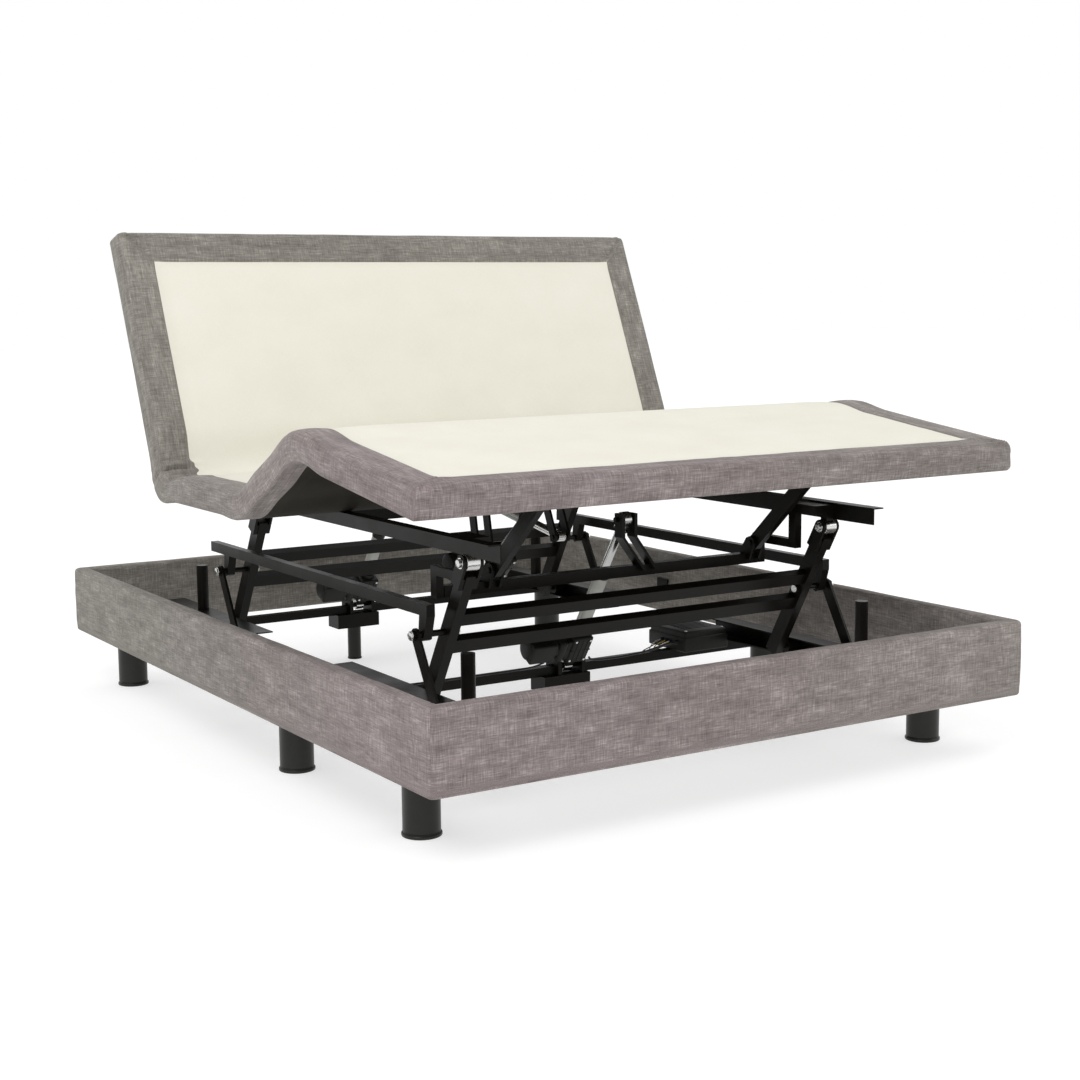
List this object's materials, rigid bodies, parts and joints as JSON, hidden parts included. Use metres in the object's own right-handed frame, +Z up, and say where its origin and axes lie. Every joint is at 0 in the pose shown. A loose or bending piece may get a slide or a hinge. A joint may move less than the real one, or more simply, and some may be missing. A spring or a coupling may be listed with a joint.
{
  "type": "adjustable bed base",
  "caption": "Motorised upholstered bed base: a fabric-covered frame on round legs, a scissor lift inside it, and a hinged deck that raises head, thighs and legs.",
  "frame": {"origin": "on the floor, under the centre of the base frame", "axes": "+Z up, +Y to the head end, +X to the right of someone who looks from the foot end"},
  "size_m": [1.524, 2.032, 1.2063],
  "materials": {
    "tweed": "woven grey linen-look upholstery",
    "deck_cover": "grey woven border with a cream top cloth",
    "black_steel": "satin black powder coat",
    "leg_plastic": "fine matt grain",
    "motor_plastic": "moulded, satin",
    "zinc": "polished rod",
    "cable": "smooth jacket"
  },
  "bodies": {
    "base_frame": {"base_rail_left": "tweed", "base_rail_right": "tweed", "base_rail_foot": "tweed", "base_rail_head": "tweed", "leg_foot_left": "leg_plastic", "leg_foot_right": "leg_plastic", "leg_middle_left": "leg_plastic", "leg_middle_right": "leg_plastic", "leg_head_left": "leg_plastic", "leg_head_right": "leg_plastic", "leg_centre_head": "leg_plastic", "foot_cross_beam": "black_steel", "head_cross_beam": "black_steel", "track_foot_left": "black_steel", "track_foot_right": "black_steel", "track_head_left": "black_steel", "track_head_right": "black_steel", "control_box": "motor_plastic", "lift_motor_cable": "cable"},
    "foot_links": {"foot_link_left": "black_steel", "foot_link_right": "black_steel"},
    "foot_arms": {"foot_arm_left": "black_steel", "foot_arm_right": "black_steel", "foot_arm_tube_upper": "black_steel", "foot_arm_tube_lower": "black_steel"},
    "head_links": {"head_link_left": "black_steel", "head_link_right": "black_steel"},
    "head_arms": {"head_arm_left": "black_steel", "head_arm_right": "black_steel", "head_arm_tube_upper": "black_steel", "head_arm_tube_lower": "black_steel"},
    "tie_rails": {"tie_rail_left": "black_steel", "tie_rail_right": "black_steel"},
    "deck_frame": {"angle_rail_left": "black_steel", "angle_rail_right": "black_steel", "foot_bracket_left": "black_steel", "foot_bracket_right": "black_steel", "head_pivot_post_left": "black_steel", "head_pivot_post_right": "black_steel", "foot_cross_tube": "black_steel", "centre_cross_tube": "black_steel", "head_cross_tube": "black_steel", "seat_panel": "deck_cover"},
    "head_section": {"head_panel": "deck_cover", "head_crank": "black_steel"},
    "thigh_section": {"thigh_panel": "deck_cover", "thigh_bracket": "black_steel"},
    "leg_section": {"leg_panel": "deck_cover", "leg_bracket_left": "black_steel", "leg_bracket_right": "black_steel"},
    "leg_struts": {"leg_strut_left": "black_steel", "leg_strut_right": "black_steel"},
    "foot_lift_drive": {"foot_lift_motor": "motor_plastic"},
    "foot_lift_ram": {"foot_lift_rod": "zinc"},
    "head_lift_drive": {"head_lift_motor": "motor_plastic"},
    "head_lift_ram": {"head_lift_rod": "zinc"},
    "leg_tilt_drive": {"leg_tilt_motor": "motor_plastic"},
    "leg_tilt_ram": {"leg_tilt_rod": "zinc"},
    "head_tilt_drive": {"head_tilt_motor": "motor_plastic"},
    "head_tilt_ram": {"head_tilt_rod": "zinc"}
  },
  "joints": [
    {"name": "lift", "type": "slide", "parent": "base_frame", "child": "deck_frame", "axis": [0, 0, 1], "range_m": [-0.115, 0]},
    {"name": "foot_link_pivot", "type": "hinge", "parent": "base_frame", "child": "foot_links", "pos_m": [0, -0.675, 0.19237], "axis": [1, 0, 0], "range_deg": [-27, 0]},
    {"name": "foot_scissor_pivot", "type": "hinge", "parent": "foot_links", "child": "foot_arms", "pos_m": [0, -0.58475, 0.34868], "axis": [1, 0, 0], "range_deg": [0, 54]},
    {"name": "head_link_pivot", "type": "hinge", "parent": "base_frame", "child": "head_links", "pos_m": [0, 0.368, 0.19237], "axis": [1, 0, 0], "range_deg": [-27, 0]},
    {"name": "head_scissor_pivot", "type": "hinge", "parent": "head_links", "child": "head_arms", "pos_m": [0, 0.45825, 0.34868], "axis": [1, 0, 0], "range_deg": [0, 54]},
    {"name": "tie_rail_pivot", "type": "hinge", "parent": "foot_links", "child": "tie_rails", "pos_m": [0, -0.58475, 0.34868], "axis": [1, 0, 0], "range_deg": [0, 27]},
    {"name": "foot_lift_swing", "type": "hinge", "parent": "base_frame", "child": "foot_lift_drive", "pos_m": [0, -0.226, 0.152], "axis": [1, 0, 0], "range_deg": [0, 12]},
    {"name": "foot_lift_stroke", "type": "slide", "parent": "foot_lift_drive", "child": "foot_lift_ram", "axis": [0, -0.5476, 0.8367], "range_m": [-0.0915, 0]},
    {"name": "head_lift_swing", "type": "hinge", "parent": "base_frame", "child": "head_lift_drive", "pos_m": [0, 0.804, 0.157], "axis": [1, 0, 0], "range_deg": [0, 12]},
    {"name": "head_lift_stroke", "type": "slide", "parent": "head_lift_drive", "child": "head_lift_ram", "axis": [0, -0.5399, 0.8417], "range_m": [-0.0915, 0]},
    {"name": "head_tilt", "type": "hinge", "parent": "deck_frame", "child": "head_section", "pos_m": [0, 0.334, 0.573], "axis": [1, 0, 0], "range_deg": [-66.5, 0]},
    {"name": "head_drive_swing", "type": "hinge", "parent": "deck_frame", "child": "head_tilt_ram", "pos_m": [0, -0.12, 0.45], "axis": [1, 0, 0], "range_deg": [-1, 0]},
    {"name": "head_drive_stroke", "type": "slide", "parent": "head_tilt_ram", "child": "head_tilt_drive", "axis": [0, 0.9868, 0.1621], "range_m": [-0.066, 0]},
    {"name": "thigh_tilt", "type": "hinge", "parent": "deck_frame", "child": "thigh_section", "pos_m": [0, -0.158, 0.573], "axis": [-1, 0, 0], "range_deg": [-26.7, 0]},
    {"name": "knee", "type": "hinge", "parent": "thigh_section", "child": "leg_section", "pos_m": [0, -0.44379, 0.75479], "axis": [-1, 0, 0], "range_deg": [0, 34.25]},
    {"name": "leg_strut_pivot", "type": "hinge", "parent": "deck_frame", "child": "leg_struts", "pos_m": [0, -0.496, 0.452], "axis": [-1, 0, 0], "range_deg": [-30, 0]},
    {"name": "leg_drive_swing", "type": "hinge", "parent": "deck_frame", "child": "leg_tilt_drive", "pos_m": [0, -0.116, 0.37], "axis": [-1, 0, 0], "range_deg": [-16, 0]},
    {"name": "leg_drive_stroke", "type": "slide", "parent": "leg_tilt_drive", "child": "leg_tilt_ram", "axis": [0, -0.7727, 0.6347], "range_m": [-0.0705, 0]}
  ],
  "couplings": [
    {"joint": "foot_link_pivot", "follows": "lift", "rad_per_m": 4.0684},
    {"joint": "foot_scissor_pivot", "follows": "lift", "rad_per_m": -8.1368},
    {"joint": "head_link_pivot", "follows": "lift", "rad_per_m": 4.0684},
    {"joint": "head_scissor_pivot", "follows": "lift", "rad_per_m": -8.1368},
    {"joint": "tie_rail_pivot", "follows": "lift", "rad_per_m": -4.0684},
    {"joint": "foot_lift_swing", "follows": "lift", "rad_per_m": -1.5046},
    {"joint": "foot_lift_stroke", "follows": "lift", "ratio": 0.78924},
    {"joint": "head_lift_swing", "follows": "lift", "rad_per_m": -1.7151},
    {"joint": "head_lift_stroke", "follows": "lift", "ratio": 0.78832},
    {"joint": "head_drive_swing", "follows": "head_tilt", "ratio": 0.008903},
    {"joint": "head_drive_stroke", "follows": "head_tilt", "m_per_rad": 0.056543},
    {"joint": "knee", "follows": "thigh_tilt", "ratio": -1.2809},
    {"joint": "leg_strut_pivot", "follows": "thigh_tilt", "ratio": 0.95638},
    {"joint": "leg_drive_swing", "follows": "thigh_tilt", "ratio": 0.56731},
    {"joint": "leg_drive_stroke", "follows": "thigh_tilt", "m_per_rad": 0.14973}
  ]
}
